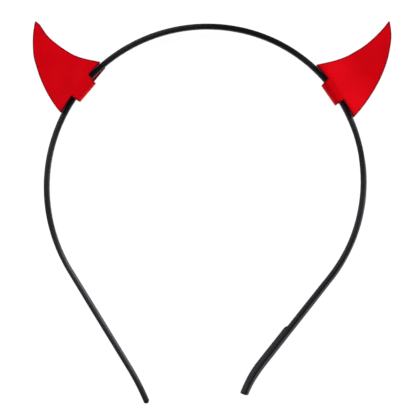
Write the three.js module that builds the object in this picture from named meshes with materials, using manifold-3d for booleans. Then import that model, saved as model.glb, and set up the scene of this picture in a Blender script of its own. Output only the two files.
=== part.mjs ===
// A party headband: a thin satin-covered hoop with a small red horn folded over it on each side.
// It lies on its side with the crown towards +Y, so the hoop is in the XY plane and its width is along Z.
// Left and right are as seen from +Z. Lengths are in millimetres and angles in degrees.

import * as THREE from 'three'
import { mergeVertices } from 'three/addons/utils/BufferGeometryUtils.js'
import Module from 'manifold-3d'

const wasm = await Module()
wasm.setup()

// The covered strip

const bandWidth = 5
const bandThickness = 2.2
const bandCornerRadius = 0.8
const narrowestFlat = 0.04
const foldedRibbonThickness = 0.6
const foldedRibbonLength = 31.5
const foldedRibbonStep = 1.5
const leftEndRounding = 1.05
const rightEndRounding = 0.45

// The hoop's centre line, from the crown down each side

const crownRadius = 61.9
const rightSideRadius = 59.75
const leftArchTurn = 121.4
const rightCrownTurn = 14.6
const rightArchTurn = 113.7
const leftLegLength = 43.6
const rightLegLength = 42.5
const leftTipLength = 15.5
const rightTipLength = 13.5
const leftTipTurn = -9.2
const rightTipTurn = -17.5

// The red sheet and how it is folded over the strip

const sheetThickness = 1
const hollowRise = 14
const riseSkew = 0.65
const bandClearance = 0.4
const foldCornerRadius = 1.4
const ridgeSetback = 0.3
const baseOverlap = 0.45
const baseRadius = 134

// Each horn: where it sits, its outline, and its tab

const leftHorn = {
  fromCrown: 55.9,
  lean: 1.5,
  length: 29.3,
  baseWidth: 24.8,
  tabBaseUpper: 5.8,
  tabBaseLower: 4.9,
  tabFoldWidth: 9.3,
  foldSlack: 1.1
}
const rightHorn = {
  fromCrown: 57.2,
  lean: 1.8,
  length: 32.4,
  baseWidth: 24.8,
  tabBaseUpper: 5.6,
  tabBaseLower: 4.7,
  tabFoldWidth: 9.3,
  foldSlack: 0.8
}

// The wing is the part of a layer between the tab and the crown. The left horn's back layer has one that
// hangs lower, with its end slanted towards the tab and its upper end short of the front layer's corner.

const levelWing = { dropAtTab: 0, dropAtCorner: 0, towardsTab: 0, fromCorner: 0 }
const hangingWing = { dropAtTab: 2.7, dropAtCorner: 2.5, towardsTab: 0.5, fromCorner: 0.6 }

// Points on a horn's two edges: along is a share of its length, across a share of half its base width

const leftOuterEdge = [
  { along: 0.134, across: -0.914 },
  { along: 0.3, across: -0.763 },
  { along: 0.481, across: -0.539 },
  { along: 0.633, across: -0.29 },
  { along: 0.754, across: -0.051 },
  { along: 0.899, across: 0.387 }
]
const leftTip = { along: 1, across: 0.818 }
const leftShoulder = { along: 0.916, across: 0.809 }
const leftInnerEdge = [
  { along: 0.767, across: 0.686 },
  { along: 0.626, across: 0.644 },
  { along: 0.455, across: 0.649 },
  { along: 0.309, across: 0.69 },
  { along: 0.167, across: 0.795 }
]
const rightOuterEdge = [
  { along: 0.156, across: -0.886 },
  { along: 0.337, across: -0.707 },
  { along: 0.502, across: -0.492 },
  { along: 0.656, across: -0.228 },
  { along: 0.779, across: 0.05 },
  { along: 0.913, across: 0.447 }
]
const rightTip = { along: 1, across: 0.887 }
const rightShoulder = { along: 0.967, across: 0.86 }
const rightInnerEdge = [
  { along: 0.875, across: 0.785 },
  { along: 0.721, across: 0.703 },
  { along: 0.575, across: 0.664 },
  { along: 0.422, across: 0.679 },
  { along: 0.307, across: 0.714 },
  { along: 0.155, across: 0.821 }
]

// How the strip changes down each side: at is a share of that side's length from crown to end,
// twist turns its outer face towards +Z, and thickness is a share of the strip's

const leftSections = [
  { at: 0, twist: 0, thickness: 1 },
  { at: 0.55, twist: 0, thickness: 1 },
  { at: 0.66, twist: 0, thickness: 0.94 },
  { at: 0.78, twist: 0, thickness: 1 },
  { at: 1, twist: 0, thickness: 0.98 }
]
const rightSections = [
  { at: 0, twist: 0, thickness: 1 },
  { at: 0.36, twist: 0.5, thickness: 1 },
  { at: 0.42, twist: 4, thickness: 1 },
  { at: 0.48, twist: 8.5, thickness: 1 },
  { at: 0.62, twist: 10, thickness: 1 },
  { at: 0.7, twist: 14, thickness: 1 },
  { at: 0.8, twist: 16.5, thickness: 1 },
  { at: 0.94, twist: 18, thickness: 1 },
  { at: 1, twist: 13, thickness: 0.95 }
]

// How finely curves are divided

const arcStep = 3.6
const legStep = 7
const endRingGap = 0.5
const cornerSteps = 2
const endSteps = 3
const edgeDivisions = 14
const baseDivisions = 5
const wingDivisions = 3
const riseDivisions = 12
const slopeReach = 0.01
const foldDivisions = 5

const radians = THREE.MathUtils.degToRad

function arcLength(radius, turn) {
  return radius * radians(turn)
}

// Each side bends inwards by turn over the length of each of its stretches
const leftSide = {
  direction: -1,
  sections: leftSections,
  endRounding: leftEndRounding,
  foldedRibbon: 0,
  stretches: [
    { length: arcLength(crownRadius, leftArchTurn), turn: leftArchTurn },
    { length: leftLegLength, turn: 0 },
    { length: leftTipLength, turn: leftTipTurn }
  ]
}
const rightSide = {
  direction: 1,
  sections: rightSections,
  endRounding: rightEndRounding,
  foldedRibbon: foldedRibbonLength,
  stretches: [
    { length: arcLength(crownRadius, rightCrownTurn), turn: rightCrownTurn },
    { length: arcLength(rightSideRadius, rightArchTurn), turn: rightArchTurn },
    { length: rightLegLength, turn: 0 },
    { length: rightTipLength, turn: rightTipTurn }
  ]
}

function sideLength(side) {
  return side.stretches.reduce((sum, stretch) => sum + stretch.length, 0)
}

// Where the centre line is at a distance from the crown, and the way out of the hoop there
function pointOnSide(side, distance) {
  let x = 0
  let y = crownRadius
  let turned = 0
  let left = distance
  for (const stretch of side.stretches) {
    const run = Math.min(left, stretch.length)
    const bend = radians(stretch.turn) * run / stretch.length
    const chord = bend === 0 ? run : run * Math.sin(bend / 2) / (bend / 2)
    const heading = turned + bend / 2
    x += chord * Math.cos(heading)
    y -= chord * Math.sin(heading)
    turned += bend
    left -= run
    if (left <= 0) break
  }
  return {
    centre: new THREE.Vector2(side.direction * x, y),
    outward: new THREE.Vector2(side.direction * Math.sin(turned), Math.cos(turned)),
    turned
  }
}

// The strip sinks evenly from the height of the horns' channels to the surface under its ends
const channelHeight = bandWidth / 2 + bandClearance + sheetThickness
const hornLine = (pointOnSide(leftSide, leftHorn.fromCrown).centre.y
  + pointOnSide(rightSide, rightHorn.fromCrown).centre.y) / 2
const endLine = (pointOnSide(leftSide, sideLength(leftSide)).centre.y
  + pointOnSide(rightSide, sideLength(rightSide)).centre.y) / 2

// The doubled, twisted right end reaches lowest, so it sets the height of the ends
const endTwist = radians(rightSections.at(-1).twist)
const endCornerOut = bandThickness / 2 + foldedRibbonThickness - bandCornerRadius
const endCornerAcross = bandWidth / 2 - bandCornerRadius
const endHeight = endCornerOut * Math.sin(endTwist) + endCornerAcross * Math.cos(endTwist) + bandCornerRadius

function stripHeight(y) {
  return endHeight + (channelHeight - endHeight) * (y - endLine) / (hornLine - endLine)
}

function sectionAt(sections, position) {
  const share = Math.min(position, 1)
  const next = Math.max(1, sections.findIndex((row) => row.at >= share))
  const before = sections[next - 1]
  const after = sections[next]
  const part = THREE.MathUtils.smoothstep(share, before.at, after.at)
  return {
    twist: THREE.MathUtils.lerp(before.twist, after.twist, part),
    thickness: THREE.MathUtils.lerp(before.thickness, after.thickness, part)
  }
}

// How far the end's rounding draws the section in, at a distance from the very end
function endInset(rounding, fromEnd) {
  if (fromEnd >= rounding) return 0
  return rounding - Math.sqrt(rounding ** 2 - (rounding - fromEnd) ** 2)
}

// The strip's section: a rectangle with rounded corners, as offsets out of the hoop and along its width
function sectionOutline(outside, inside, halfWidth, cornerRadius) {
  const radius = Math.min(cornerRadius, (outside + inside - narrowestFlat) / 2)
  const corners = [
    { out: outside - radius, across: halfWidth - radius, from: 0 },
    { out: radius - inside, across: halfWidth - radius, from: 90 },
    { out: radius - inside, across: radius - halfWidth, from: 180 },
    { out: outside - radius, across: radius - halfWidth, from: 270 }
  ]
  return corners.flatMap((corner) => {
    return Array.from({ length: cornerSteps + 1 }, (_, step) => {
      const angle = radians(corner.from + 90 * step / cornerSteps)
      return { out: corner.out + radius * Math.cos(angle), across: corner.across + radius * Math.sin(angle) }
    })
  })
}

// One ring of points round the strip at a distance from the crown
function stripRing(side, distance) {
  const length = sideLength(side)
  const fromEnd = length - distance
  const { centre, outward } = pointOnSide(side, distance)
  const section = sectionAt(side.sections, distance / length)
  const inset = endInset(side.endRounding, fromEnd)
  const foldStart = side.foldedRibbon - foldedRibbonStep
  const doubled = side.foldedRibbon > 0
    ? 1 - THREE.MathUtils.smoothstep(fromEnd, foldStart, side.foldedRibbon)
    : 0
  const outside = bandThickness * section.thickness / 2 - inset
  const inside = outside + foldedRibbonThickness * doubled
  const halfWidth = bandWidth / 2 - inset
  const cosTwist = Math.cos(radians(section.twist))
  const sinTwist = Math.sin(radians(section.twist))
  const height = stripHeight(centre.y)
  return sectionOutline(outside, inside, halfWidth, bandCornerRadius).map(({ out, across }) => {
    const outwards = out * cosTwist - across * sinTwist
    const upwards = out * sinTwist + across * cosTwist
    return new THREE.Vector3(
      centre.x + outward.x * outwards,
      centre.y + outward.y * outwards,
      height + upwards
    )
  })
}

// Distances from the crown where the strip gets a ring
function ringDistances(side) {
  const distances = []
  let start = 0
  for (const stretch of side.stretches) {
    const step = stretch.turn === 0 ? legStep : arcStep
    const count = Math.ceil(stretch.length / step)
    for (let i = 0; i < count; i++) distances.push(start + stretch.length * i / count)
    start += stretch.length
  }
  const length = start
  const kept = distances.filter((distance) => {
    const fromEnd = length - distance
    const nearFold = Math.abs(fromEnd - side.foldedRibbon) < 2 * foldedRibbonStep
    return fromEnd > side.endRounding + endRingGap && !(side.foldedRibbon > 0 && nearFold)
  })
  if (side.foldedRibbon > 0) {
    for (const share of [0, 0.5, 1]) {
      kept.push(length - side.foldedRibbon + foldedRibbonStep * share)
    }
  }
  for (let i = 0; i <= endSteps; i++) {
    const angle = radians(90 * i / endSteps)
    kept.push(length - side.endRounding * (1 - Math.sin(angle)))
  }
  return kept.sort((a, b) => a - b)
}

// Closes rings of points into one body, with a fan over each end
function loftRings(rings) {
  const size = rings[0].length
  const points = rings.flat()
  const first = rings[0].reduce((sum, point) => sum.add(point), new THREE.Vector3()).divideScalar(size)
  const last = rings.at(-1).reduce((sum, point) => sum.add(point), new THREE.Vector3()).divideScalar(size)
  points.push(first, last)
  const faces = []
  for (let i = 0; i < size; i++) {
    const j = (i + 1) % size
    for (let ring = 0; ring < rings.length - 1; ring++) {
      const a = ring * size
      const b = a + size
      faces.push(a + i, a + j, b + j, a + i, b + j, b + i)
    }
    const end = (rings.length - 1) * size
    faces.push(points.length - 2, j, i)
    faces.push(points.length - 1, end + i, end + j)
  }
  const geometry = new THREE.BufferGeometry().setFromPoints(points)
  geometry.setIndex(faces)
  return geometry
}

function headbandGeometry() {
  const leftRings = ringDistances(leftSide).slice(1).reverse().map((distance) => stripRing(leftSide, distance))
  const rightRings = ringDistances(rightSide).map((distance) => stripRing(rightSide, distance))
  return loftRings([...leftRings, ...rightRings])
}

// Solids for joining and cutting

function toSolid(geometry) {
  const bare = geometry.clone()
  bare.deleteAttribute('normal')
  bare.deleteAttribute('uv')
  const merged = mergeVertices(bare, 1e-4)
  return new wasm.Manifold(new wasm.Mesh({
    numProp: 3,
    vertProperties: Float32Array.from(merged.attributes.position.array),
    triVerts: Uint32Array.from(merged.index.array)
  }))
}

function toGeometry(solid) {
  const mesh = solid.getMesh()
  const geometry = new THREE.BufferGeometry()
  geometry.setAttribute('position', new THREE.BufferAttribute(mesh.vertProperties, 3))
  geometry.setIndex(new THREE.BufferAttribute(mesh.triVerts, 1))
  return geometry
}

// The front half of the folded sheet seen along the band: x runs out of the hoop from the band's centre,
// y along its width, and the two halves are glued together where y is 0. layer is 0 on the face against
// the band and 1 on the outer face.
const halfHollow = bandWidth / 2 + bandClearance
const ridge = bandThickness / 2 + bandClearance - ridgeSetback

// Past the ridge the sheet falls to the glued part on half a wave, which riseSkew makes steeper near the ridge
function risingPoint(share) {
  const rise = halfHollow * (1 + Math.cos(Math.PI * share ** riseSkew)) / 2
  return new THREE.Vector2(ridge + hollowRise * share, rise)
}

function risingLine(layer) {
  return Array.from({ length: riseDivisions + 1 }, (_, i) => {
    const share = 1 - i / riseDivisions
    const ahead = risingPoint(Math.min(share + slopeReach, 1))
    const behind = risingPoint(Math.max(share - slopeReach, 0))
    const tangent = ahead.sub(behind)
    const normal = new THREE.Vector2(-tangent.y, tangent.x).normalize()
    return risingPoint(share).addScaledVector(normal, layer * sheetThickness)
  })
}

function foldLine(horn, layer) {
  const side = bandThickness / 2 + horn.foldSlack
  const corner = new THREE.Vector2(foldCornerRadius - side, halfHollow - foldCornerRadius)
  return Array.from({ length: foldDivisions + 1 }, (_, i) => {
    const angle = radians(90 + 90 * i / foldDivisions)
    const out = new THREE.Vector2(Math.cos(angle), Math.sin(angle))
    return corner.clone().addScaledVector(out, foldCornerRadius + layer * sheetThickness)
  })
}

function flipped(line) {
  return line.map((point) => new THREE.Vector2(point.x, -point.y))
}

// Where the tab is, the sheet runs round the band from one half to the other
function tabProfile(horn, reach) {
  const outer = [...risingLine(1), ...foldLine(horn, 1)]
  const inner = [...risingLine(0), ...foldLine(horn, 0)]
  const profile = new THREE.Shape([
    new THREE.Vector2(reach, sheetThickness),
    ...outer,
    ...flipped(outer).reverse(),
    new THREE.Vector2(reach, -sheetThickness)
  ])
  profile.holes.push(new THREE.Path([...inner, ...flipped(inner).slice(1).reverse()]))
  return profile
}

// On both sides of the tab the two halves run on flat, in front of the band and behind it
function shoulderProfile(reach) {
  const outer = [...risingLine(1), new THREE.Vector2(-reach, halfHollow + sheetThickness)]
  const inner = [...risingLine(0), new THREE.Vector2(-reach, halfHollow)]
  return new THREE.Shape([
    new THREE.Vector2(reach, sheetThickness),
    ...outer,
    ...[...inner].reverse(),
    ...flipped(inner).slice(1),
    ...flipped(outer).reverse(),
    new THREE.Vector2(reach, -sheetThickness)
  ])
}

// A profile seen along the band, drawn out along it well past the horn on both sides
function sheetSolid(horn, profile) {
  const depth = 2 * horn.baseWidth
  const geometry = new THREE.ExtrudeGeometry(profile, { depth, bevelEnabled: false })
  geometry.translate(0, 0, -depth / 2)
  geometry.rotateX(Math.PI / 2)
  return toSolid(geometry)
}

// The outlines below are seen from above: x runs out of the hoop from the band's centre, y along it to the
// crown. direction is 1 where the crown is to the left of x, and -1 where it is to the right.
function outlineSolid(points, direction, from, to) {
  const outline = new THREE.Shape(points.map((point) => new THREE.Vector2(point.x, direction * point.y)))
  const geometry = new THREE.ExtrudeGeometry(outline, { depth: to - from, bevelEnabled: false })
  geometry.translate(0, 0, from)
  return toSolid(geometry)
}

// The base edge's distance from the band's centre. It is cut to a long curve that lies along the hoop, so
// it doesn't lean with the horn, and it laps over the strip's outer side beside the tab.
function baseEdge(horn, y) {
  const sink = baseRadius - Math.sqrt(baseRadius ** 2 - y ** 2)
  return bandThickness / 2 - baseOverlap - sink - y * Math.tan(radians(horn.lean))
}

function evenly(from, to, divisions) {
  return Array.from({ length: divisions + 1 }, (_, i) => from + (to - from) * i / divisions)
}

function wingEdge(horn, wing) {
  const corner = horn.baseWidth / 2 - wing.fromCorner
  const end = horn.tabBaseUpper - wing.towardsTab
  return evenly(corner, end, wingDivisions).map((y) => {
    const share = (y - end) / (corner - end)
    const drop = THREE.MathUtils.lerp(wing.dropAtTab, wing.dropAtCorner, share)
    return new THREE.Vector2(baseEdge(horn, y) - drop, y)
  })
}

// One layer of a horn without its tab
function layerOutline(horn, edges, wing) {
  const half = horn.baseWidth / 2
  const foot = baseEdge(horn, -half)
  const place = ({ along, across }) => new THREE.Vector2(foot + along * horn.length, across * half)
  const lowerCorner = new THREE.Vector2(foot, -half)
  const wingPoints = wingEdge(horn, wing)
  const outerEdge = new THREE.SplineCurve([lowerCorner, ...edges.outer.map(place), place(edges.tip)])
  const innerEdge = new THREE.SplineCurve([place(edges.shoulder), ...edges.inner.map(place), wingPoints[0]])
  const base = evenly(horn.tabBaseUpper, -half, baseDivisions)
    .map((y) => new THREE.Vector2(baseEdge(horn, y), y))
    .slice(wing.dropAtTab > 0 ? 0 : 1, -1)
  return [
    ...outerEdge.getPoints(edgeDivisions),
    ...innerEdge.getPoints(edgeDivisions),
    ...wingPoints.slice(1),
    ...base
  ]
}

// The tab narrows from the base edge to the fold, and its sides run on straight into the horn
function tabOutline(horn) {
  const fold = -bandThickness / 2 - horn.foldSlack - sheetThickness
  const past = fold - sheetThickness
  const inside = ridge + hollowRise / 2
  const halfFold = horn.tabFoldWidth / 2
  return [
    new THREE.Vector2(inside, horn.tabBaseUpper),
    new THREE.Vector2(baseEdge(horn, horn.tabBaseUpper), horn.tabBaseUpper),
    new THREE.Vector2(fold, halfFold),
    new THREE.Vector2(past, halfFold),
    new THREE.Vector2(past, -halfFold),
    new THREE.Vector2(fold, -halfFold),
    new THREE.Vector2(baseEdge(horn, -horn.tabBaseLower), -horn.tabBaseLower),
    new THREE.Vector2(inside, -horn.tabBaseLower)
  ]
}

function hornGeometry(horn, edges, backWing, direction) {
  const reach = horn.length + hollowRise
  const tall = 2 * channelHeight
  const frontOutline = layerOutline(horn, edges, levelWing)
  const backOutline = layerOutline(horn, edges, backWing)
  const front = outlineSolid(frontOutline, direction, 0, tall)
  const back = outlineSolid(backOutline, direction, -tall, 0)
  const layers = sheetSolid(horn, shoulderProfile(reach)).intersect(front.add(back))
  const tab = sheetSolid(horn, tabProfile(horn, reach))
    .intersect(outlineSolid(tabOutline(horn), direction, -tall, tall))
  return toGeometry(layers.add(tab))
}

// Materials

const blackSatin = new THREE.MeshStandardMaterial({ color: 0x1d1c20, roughness: 0.5, metalness: 0 })
const redSheet = new THREE.MeshStandardMaterial({ color: 0xd1060f, roughness: 0.6, metalness: 0 })

// Assembly

function namedMesh(name, geometry, material) {
  const mesh = new THREE.Mesh(geometry, material)
  mesh.name = name
  return mesh
}

// Puts a horn on its side of the hoop, pointing outwards and leaning a little away from the crown
function placedHorn(name, horn, side, edges, backWing) {
  const { centre, turned } = pointOnSide(side, horn.fromCrown)
  const mesh = namedMesh(name, hornGeometry(horn, edges, backWing, side.direction), redSheet)
  mesh.position.set(centre.x, centre.y, channelHeight)
  mesh.rotation.z = Math.PI / 2 - side.direction * (turned + radians(horn.lean))
  return mesh
}

const leftEdges = { outer: leftOuterEdge, tip: leftTip, shoulder: leftShoulder, inner: leftInnerEdge }
const rightEdges = { outer: rightOuterEdge, tip: rightTip, shoulder: rightShoulder, inner: rightInnerEdge }

const model = new THREE.Group()
model.add(namedMesh('headband', headbandGeometry(), blackSatin))
model.add(placedHorn('horn_left', leftHorn, leftSide, leftEdges, hangingWing))
model.add(placedHorn('horn_right', rightHorn, rightSide, rightEdges, levelWing))

// The origin is under the middle of the whole object, on the surface that it lies on
model.updateMatrixWorld(true)
const bounds = new THREE.Box3().setFromObject(model, true)
const middle = bounds.getCenter(new THREE.Vector3())
model.position.set(-middle.x, -middle.y, -bounds.min.z)

const group = new THREE.Group()
group.add(model)

export default group
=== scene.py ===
"""The looks of a party headband: a thin satin-covered hoop with a small red fabric horn on each side.

It lies on its side with the crown towards +Y, so the hoop is in the XY plane and its width is along Z.
Left and right are as seen from above. Lengths are in millimetres until a mesh or a lamp is made, and
angles are in degrees.
"""

import math

import bpy
import numpy as np
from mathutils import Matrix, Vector, noise


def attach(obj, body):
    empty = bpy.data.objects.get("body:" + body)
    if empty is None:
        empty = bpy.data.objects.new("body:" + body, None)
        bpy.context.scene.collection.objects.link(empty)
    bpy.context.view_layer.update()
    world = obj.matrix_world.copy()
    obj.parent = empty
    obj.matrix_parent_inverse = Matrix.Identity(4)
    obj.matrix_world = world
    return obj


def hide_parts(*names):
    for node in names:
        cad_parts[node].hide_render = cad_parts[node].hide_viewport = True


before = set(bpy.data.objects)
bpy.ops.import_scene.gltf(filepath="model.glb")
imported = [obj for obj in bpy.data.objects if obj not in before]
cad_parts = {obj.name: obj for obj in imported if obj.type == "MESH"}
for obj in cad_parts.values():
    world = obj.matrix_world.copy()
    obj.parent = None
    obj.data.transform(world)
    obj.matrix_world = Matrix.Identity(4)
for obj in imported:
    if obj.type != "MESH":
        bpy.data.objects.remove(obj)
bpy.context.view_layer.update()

MM = 0.001

# The covered strip

BAND_WIDTH = 5.0
BAND_THICKNESS = 2.2
BAND_CORNER_RADIUS = 0.8
NARROWEST_FLAT = 0.04
DOUBLED_THICKNESS = 0.6
DOUBLED_LENGTH = 31.5
DOUBLED_STEP = 1.5

# The hoop's centre line, from the crown down each side

HOOP_CENTRE = (-1.868, 9.495)
CROWN_RADIUS = 61.9
RIGHT_SIDE_RADIUS = 59.75
LEFT_ARCH_TURN = 121.4
RIGHT_CROWN_TURN = 14.6
RIGHT_ARCH_TURN = 113.7

# How the ribbon lies on the strip

FACE_CROWNING = 0.07
SEAM_STEP = 0.13
SEAM_SOFTNESS = 0.14
SEAM_FADE = 1.1
SEAM_PLACE = 0.45
SEAM_WANDER = 0.3
SEAM_WANDER_LENGTH = 46.0
PUCKER_DEPTH = 0.045
PUCKER_PITCH = 2.6
PUCKER_DRIFT = 0.8
PUCKER_DRIFT_LENGTH = 9
PUCKER_STRENGTH = 0.55
STRENGTH_CHANGE = 0.45
STRENGTH_LENGTH = 6
STRENGTH_WIDTH = 3
RIBBON_UNEVENNESS = 0.02
RIBBON_UNEVEN_LENGTH = 4
RIBBON_UNEVEN_WIDTH = 1.5
INNER_FACE_BELOW = -0.5
BEND_FADE = 6

# Places in the field of noise, apart from each other so that no two forms follow the same one

SEAM_NOISE = 3.7
DRIFT_NOISE = 1.3
STRENGTH_NOISE = 8.1
SHEET_NOISE = 2.5

# The red sheet and how it is folded over the strip

SHEET_THICKNESS = 1.0
GLUE_GAP = 0.04
EDGE_ROUNDING = 0.26
HOLLOW_RISE = 14.0
RISE_SKEW = 0.65
BAND_CLEARANCE = 0.4
FOLD_CORNER_RADIUS = 1.4
RIDGE_SETBACK = 0.3
BASE_OVERLAP = 0.45
BASE_RADIUS = 134.0

HALF_HOLLOW = BAND_WIDTH / 2 + BAND_CLEARANCE
RIDGE = BAND_THICKNESS / 2 + BAND_CLEARANCE - RIDGE_SETBACK
CHANNEL_HEIGHT = HALF_HOLLOW + SHEET_THICKNESS

# Down each side: at is a share of the length from crown to end, twist turns the outer face up, and
# thickness is a share of the strip's

LEFT_SECTIONS = (
    {"at": 0, "twist": 0, "thickness": 1},
    {"at": 0.55, "twist": 0, "thickness": 1},
    {"at": 0.66, "twist": 0, "thickness": 0.94},
    {"at": 0.78, "twist": 0, "thickness": 1},
    {"at": 1, "twist": 0, "thickness": 0.98},
)
RIGHT_SECTIONS = (
    {"at": 0, "twist": 0, "thickness": 1},
    {"at": 0.36, "twist": 0.5, "thickness": 1},
    {"at": 0.42, "twist": 4, "thickness": 1},
    {"at": 0.48, "twist": 8.5, "thickness": 1},
    {"at": 0.62, "twist": 10, "thickness": 1},
    {"at": 0.7, "twist": 14, "thickness": 1},
    {"at": 0.8, "twist": 16.5, "thickness": 1},
    {"at": 0.94, "twist": 18, "thickness": 1},
    {"at": 1, "twist": 13, "thickness": 0.95},
)


def arc_length(radius, turn):
    return radius * math.radians(turn)


# Each stretch of a side has its length and the angle it bends inwards by
LEFT_SIDE = {
    "direction": -1,
    "sections": LEFT_SECTIONS,
    "end_rounding": 1.05,
    "doubled": 0,
    "stretches": (
        (arc_length(CROWN_RADIUS, LEFT_ARCH_TURN), LEFT_ARCH_TURN),
        (43.6, 0),
        (15.5, -9.2),
    ),
}
RIGHT_SIDE = {
    "direction": 1,
    "sections": RIGHT_SECTIONS,
    "end_rounding": 0.45,
    "doubled": DOUBLED_LENGTH,
    "stretches": (
        (arc_length(CROWN_RADIUS, RIGHT_CROWN_TURN), RIGHT_CROWN_TURN),
        (arc_length(RIGHT_SIDE_RADIUS, RIGHT_ARCH_TURN), RIGHT_ARCH_TURN),
        (42.5, 0),
        (13.5, -17.5),
    ),
}

# The wing is the part of a layer between the tab and the crown. It drops below the plain base edge, and
# its low end reaches towards the tab. Its corner lies in from the plain corner, and its side is set back
# where it crosses the base edge. Only the left horn's back layer has a wing that isn't level.

HANGING_WING = {
    "drop_at_tab": 2.7,
    "drop_at_corner": 2.5,
    "towards_tab": 0.75,
    "from_corner": 0.6,
    "set_back": 0.3,
}
LEVEL_WING = dict.fromkeys(HANGING_WING, 0)

# Each horn: where it sits, its tab, and its two edges. Along is a share of the horn's length and across
# a share of half its base width.

LEFT_HORN = {
    "side": LEFT_SIDE,
    "from_crown": 55.9,
    "lean": 1.5,
    "length": 29.3,
    "base_width": 24.8,
    "tab_upper": 5.8,
    "tab_lower": 4.9,
    "tab_fold_width": 9.3,
    "fold_slack": 1.1,
    "fold_slant": -0.07,
    "back_wing": HANGING_WING,
    "outer_edge": (
        (0.134, -0.914),
        (0.3, -0.763),
        (0.481, -0.539),
        (0.633, -0.29),
        (0.754, -0.051),
        (0.899, 0.387),
    ),
    "tip": (1, 0.818),
    "shoulder": (0.916, 0.809),
    "inner_edge": (
        (0.767, 0.686),
        (0.626, 0.644),
        (0.455, 0.649),
        (0.309, 0.69),
        (0.167, 0.795),
    ),
}
RIGHT_HORN = {
    "side": RIGHT_SIDE,
    "from_crown": 57.2,
    "lean": 1.8,
    "length": 32.4,
    "base_width": 24.8,
    "tab_upper": 5.6,
    "tab_lower": 4.7,
    "tab_fold_width": 9.3,
    "fold_slack": 0.8,
    "fold_slant": -0.02,
    "back_wing": LEVEL_WING,
    "outer_edge": (
        (0.156, -0.886),
        (0.337, -0.707),
        (0.502, -0.492),
        (0.656, -0.228),
        (0.779, 0.05),
        (0.913, 0.447),
    ),
    "tip": (1, 0.887),
    "shoulder": (0.967, 0.86),
    "inner_edge": (
        (0.875, 0.785),
        (0.721, 0.703),
        (0.575, 0.664),
        (0.422, 0.679),
        (0.307, 0.714),
        (0.155, 0.821),
    ),
}


# The hoop's line


def side_length(side):
    return sum(length for length, _ in side["stretches"])


def point_on_side(side, distance):
    """The centre line's point at a distance from the crown, the way out of the hoop, and the turn."""
    x = 0.0
    y = CROWN_RADIUS
    turned = 0.0
    left = distance
    for length, turn in side["stretches"]:
        run = min(left, length)
        bend = math.radians(turn) * run / length
        chord = run if bend == 0 else run * math.sin(bend / 2) / (bend / 2)
        heading = turned + bend / 2
        x += chord * math.cos(heading)
        y -= chord * math.sin(heading)
        turned += bend
        left -= run
        if left <= 0:
            break
    centre = (side["direction"] * x, y)
    outward = (side["direction"] * math.sin(turned), math.cos(turned))
    return centre, outward, turned


def smoothstep(value, low, high):
    share = min(max((value - low) / (high - low), 0), 1)
    return share * share * (3 - 2 * share)


def mean_height_line(distances):
    """The mean y of the centre line at some distances down the sides."""
    heights = [point_on_side(side, distance)[0][1] for side, distance in distances]
    return sum(heights) / len(heights)


HORN_LINE = mean_height_line([(horn["side"], horn["from_crown"]) for horn in (LEFT_HORN, RIGHT_HORN)])
END_LINE = mean_height_line([(side, side_length(side)) for side in (LEFT_SIDE, RIGHT_SIDE)])
END_TWIST = math.radians(RIGHT_SECTIONS[-1]["twist"])
END_CORNER_OUT = BAND_THICKNESS / 2 + DOUBLED_THICKNESS - BAND_CORNER_RADIUS
END_CORNER_ACROSS = BAND_WIDTH / 2 - BAND_CORNER_RADIUS
END_HEIGHT = (
    END_CORNER_OUT * math.sin(END_TWIST) + END_CORNER_ACROSS * math.cos(END_TWIST) + BAND_CORNER_RADIUS
)


def strip_height(y):
    """The strip sinks evenly from the horns' channels to the floor under its ends."""
    return END_HEIGHT + (CHANNEL_HEIGHT - END_HEIGHT) * (y - END_LINE) / (HORN_LINE - END_LINE)


def section_at(sections, share):
    """The strip's twist and its share of the full thickness, at a share of the way to the end."""
    share = min(share, 1)
    after = next(i for i, row in enumerate(sections) if row["at"] >= share)
    after = max(after, 1)
    low = sections[after - 1]
    high = sections[after]
    part = smoothstep(share, low["at"], high["at"])
    twist = low["twist"] + (high["twist"] - low["twist"]) * part
    thickness = low["thickness"] + (high["thickness"] - low["thickness"]) * part
    return math.radians(twist), thickness


# The strip's surface

CORNER_STEPS = 5
OUTER_FACE_STEPS = 8
INNER_FACE_STEPS = 16
NARROW_FACE_STEPS = 2
RING_STEP = 0.5
END_RING_STEPS = 8
CAP_SCALES = (0.86, 0.68, 0.48, 0.26)
CAP_DOME = 0.16


def section_outline(outside, inside, half_width, corner_radius):
    """Points round the strip, each with its place out of the hoop, across the width, and its normal."""
    radius = min(corner_radius, (outside + inside - NARROWEST_FLAT) / 2)
    # Each corner's middle, the angle that it starts at, and the steps of the face that follows it
    corners = (
        (outside - radius, half_width - radius, 0, NARROW_FACE_STEPS),
        (radius - inside, half_width - radius, 90, INNER_FACE_STEPS),
        (radius - inside, radius - half_width, 180, NARROW_FACE_STEPS),
        (outside - radius, radius - half_width, 270, OUTER_FACE_STEPS),
    )
    points = []
    for index, (out, across, start, face_steps) in enumerate(corners):
        for step in range(CORNER_STEPS + 1):
            angle = math.radians(start + 90 * step / CORNER_STEPS)
            normal = (math.cos(angle), math.sin(angle))
            points.append((out + radius * normal[0], across + radius * normal[1], *normal))
        next_out, next_across, _, _ = corners[(index + 1) % len(corners)]
        angle = math.radians(start + 90)
        normal = (math.cos(angle), math.sin(angle))
        for step in range(1, face_steps):
            share = step / face_steps
            flat_out = out + (next_out - out) * share + radius * normal[0]
            flat_across = across + (next_across - across) * share + radius * normal[1]
            points.append((flat_out, flat_across, *normal))
    return points


def end_inset(rounding, from_end):
    """How far the section draws in where the strip's end is rounded."""
    if from_end >= rounding:
        return 0
    return rounding - math.sqrt(rounding**2 - (rounding - from_end) ** 2)


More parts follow.
